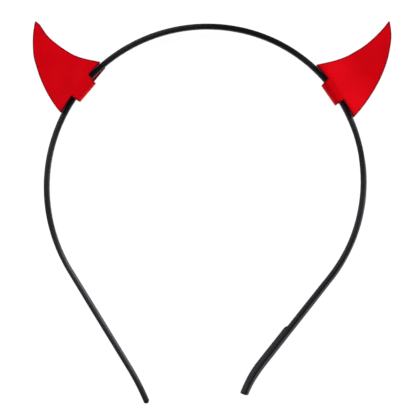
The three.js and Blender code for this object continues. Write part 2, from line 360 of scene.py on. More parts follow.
def ribbon_relief(run, bending, across, normal_out, half_width):
    """How far the ribbon stands above the strip's plain section. run is the distance along the strip."""
    wide = abs(normal_out) ** 2
    relief = -FACE_CROWNING * wide * (across / half_width) ** 2
    uneven_place = Vector((run / RIBBON_UNEVEN_LENGTH, across / RIBBON_UNEVEN_WIDTH, normal_out))
    relief += RIBBON_UNEVENNESS * noise.noise(uneven_place)
    if normal_out < INNER_FACE_BELOW:
        wander = SEAM_WANDER * noise.noise(Vector((run / SEAM_WANDER_LENGTH, SEAM_NOISE, 0)))
        past_seam = SEAM_PLACE + wander - across
        under = smoothstep(past_seam, -SEAM_SOFTNESS, SEAM_SOFTNESS)
        relief -= SEAM_STEP * under * math.exp(-max(past_seam, 0) / SEAM_FADE) * wide
        drift = PUCKER_DRIFT * noise.noise(Vector((run / PUCKER_DRIFT_LENGTH, DRIFT_NOISE, 0)))
        strength_place = Vector((run / STRENGTH_LENGTH, STRENGTH_NOISE, across / STRENGTH_WIDTH))
        strength = PUCKER_STRENGTH + STRENGTH_CHANGE * noise.noise(strength_place)
        wave = 0.5 + 0.5 * math.sin(2 * math.pi * (run / PUCKER_PITCH + drift))
        relief -= PUCKER_DEPTH * wave * strength * bending * wide
    return relief


def bend_share(side, distance):
    """1 where the strip is bent inwards, 0 on the straight legs."""
    arch = sum(length for length, turn in side["stretches"] if turn > 0)
    return 1 - smoothstep(distance, arch - BEND_FADE, arch + BEND_FADE)


def strip_ring(side, distance):
    """One ring of points, each point's distance round the strip, and the ring's place along it."""
    length = side_length(side)
    from_end = length - distance
    centre, outward, _ = point_on_side(side, distance)
    twist, thickness = section_at(side["sections"], distance / length)
    inset = end_inset(side["end_rounding"], from_end)
    doubled = 0
    if side["doubled"]:
        doubled = 1 - smoothstep(from_end, side["doubled"] - DOUBLED_STEP, side["doubled"])
    outside = BAND_THICKNESS * thickness / 2 - inset
    inside = outside + DOUBLED_THICKNESS * doubled
    half_width = BAND_WIDTH / 2 - inset
    height = strip_height(centre[1])
    bending = bend_share(side, distance)
    run = side["direction"] * distance
    relief_share = smoothstep(from_end, 0, 2 * side["end_rounding"])
    ring = []
    around = []
    travelled = 0
    before = None
    for out, across, normal_out, normal_across in section_outline(
        outside, inside, half_width, BAND_CORNER_RADIUS
    ):
        relief = relief_share * ribbon_relief(run, bending, across, normal_out, BAND_WIDTH / 2)
        if before:
            travelled += math.dist(before, (out, across))
        before = (out, across)
        around.append(travelled)
        out += relief * normal_out
        across += relief * normal_across
        outwards = out * math.cos(twist) - across * math.sin(twist)
        upwards = out * math.sin(twist) + across * math.cos(twist)
        ring.append(
            (
                HOOP_CENTRE[0] + centre[0] + outward[0] * outwards,
                HOOP_CENTRE[1] + centre[1] + outward[1] * outwards,
                height + upwards,
            )
        )
    return ring, around, run


def ring_distances(side):
    """The rings' distances from the crown, closer together at the rounded end."""
    length = side_length(side)
    rounding = side["end_rounding"]
    count = round((length - rounding) / RING_STEP)
    distances = [(length - rounding) * i / count for i in range(count)]
    for i in range(END_RING_STEPS + 1):
        angle = math.radians(90 * i / END_RING_STEPS)
        distances.append(length - rounding * (1 - math.sin(angle)))
    return distances


def cap_rings(ring, towards):
    """Smaller rings that close an end with a low dome, and the point in its middle."""
    points = np.array(ring)
    middle = points.mean(axis=0)
    rings = []
    for scale in CAP_SCALES:
        lift = CAP_DOME * (1 - scale**2) * np.array(towards)
        rings.append((middle + (points - middle) * scale + lift).tolist())
    return rings, (middle + CAP_DOME * np.array(towards)).tolist()


def end_direction(side):
    _, outward, _ = point_on_side(side, side_length(side))
    return (side["direction"] * outward[1], -side["direction"] * outward[0], 0)


def with_caps(values):
    """The rings' values with the first and last repeated for the caps' smaller rings."""
    extra = len(CAP_SCALES)
    return [values[0]] * extra + values + [values[-1]] * extra


def make_headband():
    rows = [strip_ring(LEFT_SIDE, distance) for distance in reversed(ring_distances(LEFT_SIDE)[1:])]
    rows += [strip_ring(RIGHT_SIDE, distance) for distance in ring_distances(RIGHT_SIDE)]
    left_cap, left_middle = cap_rings(rows[0][0], end_direction(LEFT_SIDE))
    right_cap, right_middle = cap_rings(rows[-1][0], end_direction(RIGHT_SIDE))
    rings = [*reversed(left_cap), *[row[0] for row in rows], *right_cap]
    arounds = with_caps([row[1] for row in rows])
    runs = with_caps([row[2] for row in rows])
    size = len(rings[0])
    points = [point for ring in rings for point in ring] + [left_middle, right_middle]
    faces = []
    places = []
    for index in range(len(rings) - 1):
        for i in range(size):
            j = (i + 1) % size
            a = index * size
            b = a + size
            faces.append((a + i, a + j, b + j, b + i))
            seam = arounds[index][-1] + BAND_CORNER_RADIUS / CORNER_STEPS
            far = arounds[index][j] if j else seam
            places.append(
                (
                    (runs[index], arounds[index][i]),
                    (runs[index], far),
                    (runs[index + 1], far),
                    (runs[index + 1], arounds[index][i]),
                )
            )
    end = (len(rings) - 1) * size
    for i in range(size):
        j = (i + 1) % size
        faces.append((len(points) - 2, j, i))
        places.append(((runs[0], arounds[0][i]),) * 3)
        faces.append((len(points) - 1, end + i, end + j))
        places.append(((runs[-1], arounds[-1][i]),) * 3)
    return make_mesh("headband_cover", points, faces, places)


# Meshes


def make_mesh(name, points, faces, places):
    """Makes a smooth mesh of points in millimetres, with a flat place in metres for each face corner."""
    mesh = bpy.data.meshes.new(name)
    mesh.from_pydata([tuple(value * MM for value in point) for point in points], [], faces)
    flat = mesh.uv_layers.new(name="flat_place")
    corners = [value * MM for face in places for place in face for value in place]
    flat.data.foreach_set("uv", corners)
    mesh.polygons.foreach_set("use_smooth", [True] * len(faces))
    mesh.update()
    made = bpy.data.objects.new(name, mesh)
    bpy.context.scene.collection.objects.link(made)
    return made


def turn_faces_out(made):
    """Turns a closed mesh's faces outwards if its volume says that they face inwards."""
    points = np.array([v.co[:] for v in made.data.vertices])
    volume = 0.0
    for face in made.data.polygons:
        a, b, c = (points[i] for i in face.vertices[:3])
        volume += float(np.dot(a, np.cross(b, c)))
        if len(face.vertices) == 4:
            d = points[face.vertices[3]]
            volume += float(np.dot(a, np.cross(c, d)))
    if volume < 0:
        made.data.flip_normals()


# The folded sheet

PROFILE_STEP = 0.05
ROWS = 64
TAB_ROWS = 44
SHOULDER_COLUMNS = 12
TAB_COLUMNS = 16
ROW_CROWDING = 1.25
LAST_ROW_SHARE = 0.988
CURVED_BASE_SHARE = 0.4
TIP_ROUNDING = 0.05
ROUNDING_STEPS = 3
ROUNDING_SHARE = 0.3
FOLD_POINTS = 40
RISE_POINTS = 160
EDGE_POINTS = 400
NORMAL_REACH = 0.2
FLAT_NORMAL = 0.9999
SAME_PLACE = 0.001
LEAST_SHARE = 1e-6
LEAST_SQUARE = 1e-12
FAR_AWAY = 1e9
TIP_LIFT = 0.5
UNEVENNESS = 0.12
UNEVENNESS_LENGTH = 9.0


def spline_point(points, share):
    """A point on a uniform Catmull-Rom curve through the points."""
    last = len(points) - 1
    place = last * share
    index = min(int(place), last - 1)
    part = place - index
    before = points[max(index - 1, 0)]
    start = points[index]
    end = points[index + 1]
    after = points[min(index + 2, last)]
    out = (end - before) / 2
    into = (after - start) / 2
    cubic = 2 * start - 2 * end + out + into
    square = 3 * end - 3 * start - 2 * out - into
    return cubic * part**3 + square * part**2 + out * part + start


def base_edge(horn, y):
    """The base edge's distance from the band's centre. It lies along the hoop on a long curve."""
    sink = BASE_RADIUS - math.sqrt(BASE_RADIUS**2 - y**2)
    return BAND_THICKNESS / 2 - BASE_OVERLAP - sink - y * math.tan(math.radians(horn["lean"]))


def sheet_profile(horn):
    """The sheet's middle line seen along the band, from the fold to the tip of the front half.

    Returns its x and z, its normal, and the distance along it. The back half is its mirror image.
    """
    half_sheet = SHEET_THICKNESS / 2
    side = BAND_THICKNESS / 2 + horn["fold_slack"]
    corner_x = FOLD_CORNER_RADIUS - side
    corner_z = HALF_HOLLOW - FOLD_CORNER_RADIUS
    rows = []
    for z in np.arange(0, corner_z, PROFILE_STEP):
        rows.append((-side - half_sheet, z, -1, 0))
    for angle in np.linspace(math.pi, math.pi / 2, FOLD_POINTS):
        normal = (math.cos(angle), math.sin(angle))
        radius = FOLD_CORNER_RADIUS + half_sheet
        rows.append((corner_x + radius * normal[0], corner_z + radius * normal[1], *normal))
    for x in np.arange(corner_x + PROFILE_STEP, RIDGE, PROFILE_STEP):
        rows.append((x, HALF_HOLLOW + half_sheet, 0, 1))
    for share in np.linspace(0, 1, RISE_POINTS):
        turn = math.pi * share**RISE_SKEW
        rise = HALF_HOLLOW * (1 + math.cos(turn)) / 2
        steepness = math.pi * RISE_SKEW * max(share, LEAST_SHARE) ** (RISE_SKEW - 1)
        slope = -HALF_HOLLOW * steepness * math.sin(turn) / 2 / HOLLOW_RISE
        normal = np.array((-slope, 1)) / math.hypot(slope, 1)
        x = RIDGE + HOLLOW_RISE * share
        rows.append((x + half_sheet * normal[0], rise + half_sheet * normal[1], *normal))
    reach = horn["length"] + HOLLOW_RISE
    for x in np.arange(RIDGE + HOLLOW_RISE + PROFILE_STEP, reach, PROFILE_STEP):
        rows.append((x, half_sheet, 0, 1))
    profile = np.array(rows)
    steps = np.hypot(np.diff(profile[:, 0]), np.diff(profile[:, 1]))
    along = np.concatenate(([0], np.cumsum(steps)))
    return profile, along


def corner_place(horn, wing):
    """The place across of a layer's upper corner."""
    return horn["base_width"] / 2 - wing["from_corner"]


def wing_share(horn, wing, y):
    """0 at the tab's upper side and 1 at the upper corner."""
    return (y - horn["tab_upper"]) / (corner_place(horn, wing) - horn["tab_upper"])


def wing_drop(horn, wing, y):
    """How much lower than the plain base edge the layer ends at y."""
    if y <= horn["tab_upper"] + SAME_PLACE:
        return 0
    share = wing_share(horn, wing, y)
    return wing["drop_at_tab"] + (wing["drop_at_corner"] - wing["drop_at_tab"]) * share


def place_across(horn, wing, y):
    """Where a column at y goes: the wing's columns close up where its corner is set back."""
    if y <= horn["tab_upper"]:
        return y
    whole = horn["base_width"] / 2 - horn["tab_upper"]
    return horn["tab_upper"] + (y - horn["tab_upper"]) * (whole - wing["from_corner"]) / whole


def shift_to_tab(horn, wing, x, y):
    """How far a point of the wing moves towards the tab, because the wing's lower end is slanted."""
    drop = wing_drop(horn, wing, y)
    if drop == 0:
        return 0
    below = min(max((base_edge(horn, y) - x) / drop, 0), 1)
    return wing["towards_tab"] * below * (1 - wing_share(horn, wing, y))


def edge_curves(horn, wing):
    """The two edges of one layer from the base to the tip, as fine lines of points."""
    half = horn["base_width"] / 2
    foot = base_edge(horn, -half)
    corner = corner_place(horn, wing)
    upper_corner = np.array((base_edge(horn, corner) - wing_drop(horn, wing, corner), corner))

    def place(point):
        return np.array((foot + point[0] * horn["length"], point[1] * half))

    outer = [np.array((foot, -half)), *map(place, horn["outer_edge"]), place(horn["tip"])]
    inner = [place(horn["shoulder"]), *map(place, horn["inner_edge"])]
    if wing["drop_at_corner"] > 0:
        inner.append(np.array((base_edge(horn, half), half - wing["set_back"])))
    inner.append(upper_corner)
    shares = np.linspace(0, 1, EDGE_POINTS)
    outer_line = np.array([spline_point(outer, share) for share in shares])
    inner_line = np.array([spline_point(inner, share) for share in shares][::-1] + [place(horn["tip"])])
    return outer_line, inner_line


def line_at(line, x):
    """The point of an edge's line at x."""
    return np.array((x, np.interp(x, line[:, 0], line[:, 1])))


def line_normal(line, x, towards):
    """The direction square to a line at x, on its side towards (1 or -1 across)."""
    ahead = line_at(line, min(x + NORMAL_REACH, line[-1, 0]))
    behind = line_at(line, max(x - NORMAL_REACH, line[0, 0]))
    tangent = (ahead - behind) / np.linalg.norm(ahead - behind)
    return towards * np.array((-tangent[1], tangent[0]))


def column_shares(horn):
    """Shares across the layer for its columns: wing, tab, wing, closer together at the wings' sides."""
    width = horn["base_width"]
    low = (width / 2 - horn["tab_lower"]) / width
    high = (width / 2 + horn["tab_upper"]) / width
    eased = [(1 - math.cos(math.pi * i / SHOULDER_COLUMNS)) / 2 for i in range(SHOULDER_COLUMNS)]
    lower = [low * value for value in eased]
    middle = [low + (high - low) * i / TAB_COLUMNS for i in range(TAB_COLUMNS)]
    upper = [1 - (1 - high) * value for value in reversed(eased)]
    return lower + middle + [high] + upper


def layer_grid(horn, wing):
    """One layer's rows of points in plan: inset by the edge's rounding, and without the inset."""
    outer_line, inner_line = edge_curves(horn, wing)
    shares = column_shares(horn)
    half = horn["base_width"] / 2
    corner = corner_place(horn, wing)
    foot = base_edge(horn, -half)
    upper_foot = base_edge(horn, corner) - wing_drop(horn, wing, corner)
    tip_x = horn["length"] + foot
    rows = []
    outline = []
    for index in range(ROWS + 1):
        share = min((index / ROWS) ** ROW_CROWDING, LAST_ROW_SHARE)
        outer_x = foot + (tip_x - foot) * share
        inner_x = upper_foot + (tip_x - upper_foot) * share
        outer = line_at(outer_line, outer_x)
        inner = line_at(inner_line, inner_x)
        width = np.linalg.norm(inner - outer)
        rounding = min(EDGE_ROUNDING, ROUNDING_SHARE * width)
        outer_in = outer + rounding * line_normal(outer_line, outer_x, 1)
        inner_in = inner + rounding * line_normal(inner_line, inner_x, -1)
        base_share = max(0, 1 - share / CURVED_BASE_SHARE) ** 2
        row = []
        edge = []
        for column in shares:
            y = place_across(horn, wing, (2 * column - 1) * half)
            across = (y + half) / (corner + half)
            straight = foot + (upper_foot - foot) * across
            bump = base_share * (base_edge(horn, y) - wing_drop(horn, wing, y) - straight)
            inset_point = outer_in + (inner_in - outer_in) * across
            edge_point = outer + (inner - outer) * across
            sideways = shift_to_tab(horn, wing, edge_point[0] + bump, y)
            row.append(inset_point + np.array((bump, -sideways)))
            edge.append(edge_point + np.array((bump, -sideways)))
        rows.append(row)
        outline.append(edge)
    first = SHOULDER_COLUMNS
    last = len(shares) - 1 - SHOULDER_COLUMNS
    for column in range(len(shares)):
        if column <= first or column >= last:
            rows[0][column] = rows[0][column] + np.array((EDGE_ROUNDING, 0))
        rows[-1][column] = rows[-1][column] - np.array((TIP_ROUNDING, 0))
    rows[0][first] = rows[0][first] + np.array((0, EDGE_ROUNDING))
    rows[0][last] = rows[0][last] - np.array((0, EDGE_ROUNDING))
    return np.array(rows), np.array(outline)


def tab_width(horn, x):
    """The tab's two sides at x: it narrows from the base edge to the fold."""
    fold = -BAND_THICKNESS / 2 - horn["fold_slack"] - SHEET_THICKNESS
    half_fold = horn["tab_fold_width"] / 2
    sides = []
    for base, direction in ((horn["tab_lower"], -1), (horn["tab_upper"], 1)):
        start = base_edge(horn, direction * base)
        share = min(max((start - x) / (start - fold), 0), 1)
        sides.append(direction * (base + (half_fold - base) * share))
    return sides


def flat_pattern(horn):
    """The unfolded sheet as rows from the front tip to the back tip.

    Each row has its distances along the sheet's profile, with 0 at the fold, and its places across. The
    second array holds the true outline for the points at an edge, and equals the first elsewhere.
    """
    profile, along = sheet_profile(horn)
    top = int(np.argmax(profile[:, 3] >= FLAT_NORMAL))

    def travel(x):
        return np.interp(x, profile[top:, 0], along[top:]) + np.minimum(x - profile[top, 0], 0)

    def to_travel(points, sign):
        moved = points.copy()
        moved[..., 0] = sign * travel(points[..., 0])
        return moved

    front, front_outline = layer_grid(horn, LEVEL_WING)
    back, back_outline = layer_grid(horn, horn["back_wing"])
    first = SHOULDER_COLUMNS
    last = front.shape[1] - 1 - SHOULDER_COLUMNS
    front = to_travel(front[::-1], 1)
    front_outline = to_travel(front_outline[::-1], 1)
    back_travel = to_travel(back, -1)
    back_outline = to_travel(back_outline, -1)
    tab = []
    tab_outline = []
    shares = (np.arange(first, last + 1) - first) / (last - first)
    for index in range(1, TAB_ROWS):
        share = index / TAB_ROWS
        row = []
        edge = []
        for column, place in enumerate(shares):
            start = front_outline[-1][first + column][0]
            end = back_outline[0][first + column][0]
            distance = start + (end - start) * share
            x = np.interp(abs(distance), along, profile[:, 0])
            low, high = tab_width(horn, x)
            edge.append((distance, low + (high - low) * place))
            low += EDGE_ROUNDING
            high -= EDGE_ROUNDING
            row.append((distance, low + (high - low) * place))
        tab.append(row)
        tab_outline.append(edge)
    parts = {
        "front": (front, front_outline),
        "tab": (np.array(tab), np.array(tab_outline)),
        "back": (back_travel, back_outline),
    }
    return parts, profile, along


def number_points(parts):
    """Gives each grid point a number and lists the outline's points in order as (part, row, column)."""
    numbers = {}
    count = 0
    for name in ("front", "tab", "back"):
        rows, columns = parts[name][0].shape[:2]
        numbers[name] = np.arange(count, count + rows * columns).reshape(rows, columns)
        count += rows * columns
    front_rows, columns = numbers["front"].shape
    back_rows = numbers["back"].shape[0]
    tab_rows, tab_columns = numbers["tab"].shape
    first = SHOULDER_COLUMNS
    last = columns - 1 - SHOULDER_COLUMNS
    base = front_rows - 1
    end = back_rows - 1
    loop = [("front", row, 0) for row in range(base, -1, -1)]
    loop += [("front", 0, column) for column in range(1, columns)]
    loop += [("front", row, columns - 1) for row in range(1, front_rows)]
    loop += [("front", base, column) for column in range(columns - 2, last - 1, -1)]
    loop += [("tab", row, tab_columns - 1) for row in range(tab_rows)]
    loop += [("back", 0, column) for column in range(last, columns)]
    loop += [("back", row, columns - 1) for row in range(1, back_rows)]
    loop += [("back", end, column) for column in range(columns - 2, -1, -1)]
    loop += [("back", row, 0) for row in range(end - 1, -1, -1)]
    loop += [("back", 0, column) for column in range(1, first + 1)]
    loop += [("tab", row, 0) for row in range(tab_rows - 1, -1, -1)]
    loop += [("front", base, column) for column in range(first, 0, -1)]
    return numbers, loop


def grid_faces(numbers):
    """Quads of the whole pattern, with the tab joined to both layers."""
    first = SHOULDER_COLUMNS
    last = numbers["front"].shape[1] - 1 - SHOULDER_COLUMNS
    joined = np.vstack(
        (
            numbers["front"][-1:, first : last + 1],
            numbers["tab"],
            numbers["back"][:1, first : last + 1],
        )
    )
    faces = []
    for grid in (numbers["front"], joined, numbers["back"]):
        for row in range(grid.shape[0] - 1):
            for column in range(grid.shape[1] - 1):
                faces.append(
                    (
                        int(grid[row, column]),
                        int(grid[row, column + 1]),
                        int(grid[row + 1, column + 1]),
                        int(grid[row + 1, column]),
                    )
                )
    return faces


def outline_distances(points, outline):
    """Each point's distance from the closed outline, both on the flat pattern."""
    starts = outline
    ends = np.roll(outline, -1, axis=0)
    lines = ends - starts
    lengths = np.maximum((lines**2).sum(axis=1), LEAST_SQUARE)
    found = np.full(len(points), FAR_AWAY)
    for start, line, length in zip(starts, lines, lengths):
        share = np.clip(((points - start) @ line) / length, 0, 1)
        gaps = points - start - share[:, None] * line
        found = np.minimum(found, np.hypot(gaps[:, 0], gaps[:, 1]))
    return found


def polygon_area(outline):
    x = outline[:, 0]
    y = outline[:, 1]
    return abs(float(np.dot(x, np.roll(y, -1)) - np.dot(y, np.roll(x, -1)))) / 2


def shape_sheet(horn, profile, along, flat, lift, on_wing):
    """Folds flat points into place. lift is each point's height above the sheet's middle.

    A point on the back wing stays flat where it hangs past the fold's corner.
    """
    distance = np.abs(flat[:, 0])
    front = np.where(flat[:, 0] >= 0, 1.0, -1.0)
    x = np.interp(distance, along, profile[:, 0])
    z = np.interp(distance, along, profile[:, 1])
    normal_x = np.interp(distance, along, profile[:, 2])
    normal_z = np.interp(distance, along, profile[:, 3])
    size = np.hypot(normal_x, normal_z)
    x = x + lift * normal_x / size
    z = z + lift * normal_z / size
    y = flat[:, 1]
    fold_reach = BAND_THICKNESS / 2 + horn["fold_slack"]
    x = x + horn["fold_slant"] * y * np.clip((-x - BAND_THICKNESS / 2) / fold_reach, 0, 1)
    top = int(np.argmax(profile[:, 3] >= FLAT_NORMAL))
    hanging = on_wing & (distance < along[top])
    x = np.where(hanging, profile[top, 0] + distance - along[top], x)
    z = front * np.where(hanging, profile[top, 1] + lift, z)
    free = np.clip((x - RIDGE) / HOLLOW_RISE, 0, 1)
    curl = TIP_LIFT * np.clip((x - RIDGE) / horn["length"], 0, 1) ** 2
    noise_places = zip(x / UNEVENNESS_LENGTH, y / UNEVENNESS_LENGTH)
    waves = np.array([noise.noise(Vector((*place, SHEET_NOISE))) for place in noise_places])
    z = z + curl + UNEVENNESS * waves * free
    centre, _, turned = point_on_side(horn["side"], horn["from_crown"])
    direction = horn["side"]["direction"]
    angle = math.pi / 2 - direction * (turned + math.radians(horn["lean"]))
    across = direction * y
    world_x = HOOP_CENTRE[0] + centre[0] + x * math.cos(angle) - across * math.sin(angle)
    world_y = HOOP_CENTRE[1] + centre[1] + x * math.sin(angle) + across * math.cos(angle)
    return np.column_stack((world_x, world_y, z + CHANNEL_HEIGHT))


def wing_flags(parts, loop, ring_count):
    """Says of each point of the sheet, in make_horn's order, whether it is on the back layer's wing."""
    last = parts["back"][0].shape[1] - 1 - SHOULDER_COLUMNS
    surface = []
    for name in ("front", "tab", "back"):
        rows, columns = parts[name][0].shape[:2]
        surface.append(np.tile((np.arange(columns) > last) & (name == "back"), rows))
    rim = np.array([part == "back" and column > last for part, _, column in loop])
    return np.concatenate([*surface, *[rim] * ring_count, *surface])


def rim_rings(half_outer, half_inner):
    """The rim's rings from the outer face to the inner one, each with its reach and its height."""
    angles = [math.radians(90 * step / ROUNDING_STEPS) for step in range(1, ROUNDING_STEPS + 1)]
    rounds = [(math.sin(angle), EDGE_ROUNDING * (1 - math.cos(angle))) for angle in angles]
    rings = [(reach, half_outer - fall) for reach, fall in rounds]
    rings += [(reach, -half_inner + fall) for reach, fall in reversed(rounds)]
    return rings


def make_horn(name, horn):
    """One horn as a closed sheet, with its flat size and cut area in metres."""
    parts, profile, along = flat_pattern(horn)
    numbers, loop = number_points(parts)
    surface = np.vstack([parts[part][0].reshape(-1, 2) for part in ("front", "tab", "back")])
    loop_numbers = [int(numbers[part][row, column]) for part, row, column in loop]
    outline = np.array([parts[part][1][row, column] for part, row, column in loop])
    inset = surface[loop_numbers]
    half_outer = SHEET_THICKNESS / 2
    half_inner = SHEET_THICKNESS / 2 - GLUE_GAP / 2
    rings = rim_rings(half_outer, half_inner)
    layers = [(surface, half_outer)]
    layers += [(inset + (outline - inset) * reach, lift) for reach, lift in rings]
    layers.append((surface, -half_inner))
    flat = np.vstack([points for points, _ in layers])
    lift = np.concatenate([np.full(len(points), height) for points, height in layers])
    on_wing = wing_flags(parts, loop, len(rings))
    points = shape_sheet(horn, profile, along, flat, lift, on_wing)
    count = len(surface)
    size = len(loop)
    under = count + size * len(rings)
    faces = grid_faces(numbers)
    faces += [tuple(under + i for i in reversed(face)) for face in grid_faces(numbers)]
    bands = [loop_numbers]
    bands += [[count + size * ring + i for i in range(size)] for ring in range(len(rings))]
    bands.append([under + i for i in loop_numbers])
    for upper, lower in zip(bands, bands[1:]):
        for i in range(size):
            j = (i + 1) % size
            faces.append((upper[j], upper[i], lower[i], lower[j]))
    places = [[flat[i] for i in face] for face in faces]
    made = make_mesh(name, points.tolist(), faces, places)
    turn_faces_out(made)
    edge = made.data.attributes.new("from_edge", "FLOAT", "POINT")
    edge.data.foreach_set("value", outline_distances(flat, outline) * MM)
    extent = outline.max(axis=0) - outline.min(axis=0)
    cut_size = (float(extent[1]) * MM, float(extent[0]) * MM)
    return made, cut_size, polygon_area(outline) * MM**2


# The looks of the ribbon, the red sheet and the floor. Pitches and reliefs are in metres, and scales are
# waves a metre.

FIBRE_RANGE = (0.3, 0.7)
WHITE = (1, 1, 1, 1)
FLOOR_GREY = (0.15, 0.15, 0.15, 1)
FLOOR_GLOW = 0.94
SATIN_WOBBLE_SCALE = 900
SATIN_WOBBLE = 3.0
SATIN_WARP_PITCH = 0.00019
SATIN_WEFT_PITCH = 0.00034
SATIN_WARP_SHARE = 0.8
SATIN_WEFT_SHARE = 0.2
SATIN_FIBRE_SCALE = 5200
SATIN_FIBRE_ROUGHNESS = 0.6
SATIN_FIBRE_SHARE = 0.8
SATIN_RELIEF = 0.00003
SATIN_RELIEF_STRENGTH = 0.35
SATIN_ROUGHNESS = (0.36, 0.48)
SATIN_PATCH_SCALE = 60
SATIN_PATCH_RANGE = (0.38, 0.62)
SATIN_BLACK = (0.0045, 0.0045, 0.0048, 1)
SATIN_COOL_BLACK = (0.0055, 0.0052, 0.0075, 1)
SATIN_THREAD = (0.009, 0.0088, 0.0105, 1)
SATIN_THREAD_SHARE = 0.35
SATIN_SHEEN_TINT = (0.92, 0.88, 1.0, 1)
HORN_WOBBLE_SCALE = 700
HORN_WOBBLE = 2.4
HORN_THREAD_PITCH = 0.00031
HORN_WEAVE_SHARE = 0.5
HORN_FIBRE_SCALE = 4200
HORN_FIBRE_ROUGHNESS = 0.62
HORN_RELIEF = 0.00004
HORN_RELIEF_STRENGTH = 0.4
HORN_ROUGHNESS = (0.62, 0.8)
HORN_PATCH_SCALE = 130
HORN_PATCH_RANGE = (0.36, 0.64)
HORN_RED = (0.7, 0.0006, 0.0032, 1)
HORN_DEEP_RED = (0.64, 0.0004, 0.0024, 1)
HORN_SPECKLE = (0.5, 0.0003, 0.002, 1)
HORN_SPECKLE_RANGE = (0.35, 0.65)
HORN_SPECKLE_SHARE = 0.14
# Painted shade: the red sheet darkens towards its outline in place of shade where its edge falls away and
# where the back layer lies in shadow. Noise wobbles how far in the darkening reaches.
HORN_EDGE_SHADE = (0.13, 0.001, 0.006, 1)
HORN_EDGE_SHADE_WOBBLE_SCALE = 900
HORN_EDGE_SHADE_WOBBLE = 0.00022
HORN_EDGE_SHADE_RANGE = (0.0008, 0.0002)
HORN_SHEEN_TINT = (1, 0.2, 0.6, 1)


class Nodes:
    """Adds and links the nodes of one material."""

    def __init__(self, name):
        self.material = bpy.data.materials.new(name)
        self.material.use_nodes = True
        self.tree = self.material.node_tree
        self.shader = self.tree.nodes["Principled BSDF"]

    def add(self, kind, settings=None, **inputs):
        node = self.tree.nodes.new(kind)
        for name, value in (settings or {}).items():
            setattr(node, name, value)
        for name, value in inputs.items():
            self.feed(node, name.replace("_", " "), value)
        return node

    def feed(self, node, name, value):
        socket = node.inputs[int(name)] if name.isdigit() else node.inputs[name]
        if isinstance(value, bpy.types.NodeSocket):
            self.tree.links.new(value, socket)
        else:
            socket.default_value = value

    def math(self, operation, *values):
        node = self.add("ShaderNodeMath", {"operation": operation})
        for index, value in enumerate(values):
            self.feed(node, str(index), value)
        return node.outputs[0]

    def mix(self, share, first, second):
        node = self.add("ShaderNodeMix", {"data_type": "RGBA"})
        self.feed(node, "0", share)
        self.feed(node, "6", first)
        self.feed(node, "7", second)
        return node.outputs[2]

    def noise(self, vector, scale, detail=2.0, roughness=0.5):
        node = self.add("ShaderNodeTexNoise", {"noise_dimensions": "3D"})
        self.feed(node, "Vector", vector)
        node.inputs["Scale"].default_value = scale
        node.inputs["Detail"].default_value = detail
        node.inputs["Roughness"].default_value = roughness
        return node.outputs["Fac"]

    def spread(self, value, low, high, new_low=0.0, new_high=1.0):
        node = self.add("ShaderNodeMapRange")
        for name, number in (
            ("Value", value),
            ("From Min", low),
            ("From Max", high),
            ("To Min", new_low),
            ("To Max", new_high),
        ):
            self.feed(node, name, number)
        return node.outputs["Result"]


def flat_places(nodes):
    """The place along and across the ribbon or sheet, in metres."""
    place = nodes.add("ShaderNodeUVMap", {"uv_map": "flat_place"})
    apart = nodes.add("ShaderNodeSeparateXYZ", Vector=place.outputs["UV"])
    return place.outputs["UV"], apart.outputs["X"], apart.outputs["Y"]


def threads(nodes, place, pitch, push=0.0):
    """A row of round threads, from 0 between them to 1 on top, at a pitch in metres."""
    turns = nodes.math("MULTIPLY_ADD", place, 2 * math.pi / pitch, push)
    return nodes.math("MULTIPLY_ADD", nodes.math("SINE", turns), 0.5, 0.5)


def set_relief(nodes, height, strength, depth):
    """Feeds the shader's normal from a height, where 1 stands for a depth in metres."""
    bump = nodes.add("ShaderNodeBump", Height=height)
    bump.inputs["Strength"].default_value = strength
    bump.inputs["Distance"].default_value = depth
    nodes.feed(nodes.shader, "Normal", bump.outputs["Normal"])


def satin_material():
    nodes = Nodes("black_satin")
    place, along, around = flat_places(nodes)
    position = nodes.add("ShaderNodeNewGeometry").outputs["Position"]
    wobble = nodes.math("MULTIPLY", nodes.noise(place, SATIN_WOBBLE_SCALE), SATIN_WOBBLE)
    warp = nodes.math("MULTIPLY", threads(nodes, around, SATIN_WARP_PITCH, wobble), SATIN_WARP_SHARE)
    weft = nodes.math("MULTIPLY", threads(nodes, along, SATIN_WEFT_PITCH, wobble), SATIN_WEFT_SHARE)
    weave = nodes.math("ADD", warp, weft)
    fibres = nodes.noise(position, SATIN_FIBRE_SCALE, 3, SATIN_FIBRE_ROUGHNESS)
    height = nodes.math("ADD", weave, nodes.math("MULTIPLY", fibres, SATIN_FIBRE_SHARE))
    set_relief(nodes, height, SATIN_RELIEF_STRENGTH, SATIN_RELIEF)
    patches = nodes.spread(nodes.noise(position, SATIN_PATCH_SCALE, 3), *SATIN_PATCH_RANGE)
    colour = nodes.mix(patches, SATIN_BLACK, SATIN_COOL_BLACK)
    lighter = nodes.mix(weave, colour, SATIN_THREAD)
    shader = nodes.shader
    nodes.feed(shader, "Base Color", nodes.mix(SATIN_THREAD_SHARE, colour, lighter))
    nodes.feed(shader, "Roughness", nodes.spread(fibres, *FIBRE_RANGE, *SATIN_ROUGHNESS))
    shader.inputs["Specular IOR Level"].default_value = 0.4
    shader.inputs["Specular Tint"].default_value = SATIN_SHEEN_TINT
    shader.inputs["Anisotropic"].default_value = 0.9
    shader.inputs["Anisotropic Rotation"].default_value = 0.25
    tangent = nodes.add("ShaderNodeTangent", {"direction_type": "UV_MAP", "uv_map": "flat_place"})
    nodes.feed(shader, "Tangent", tangent.outputs["Tangent"])
    return nodes.material


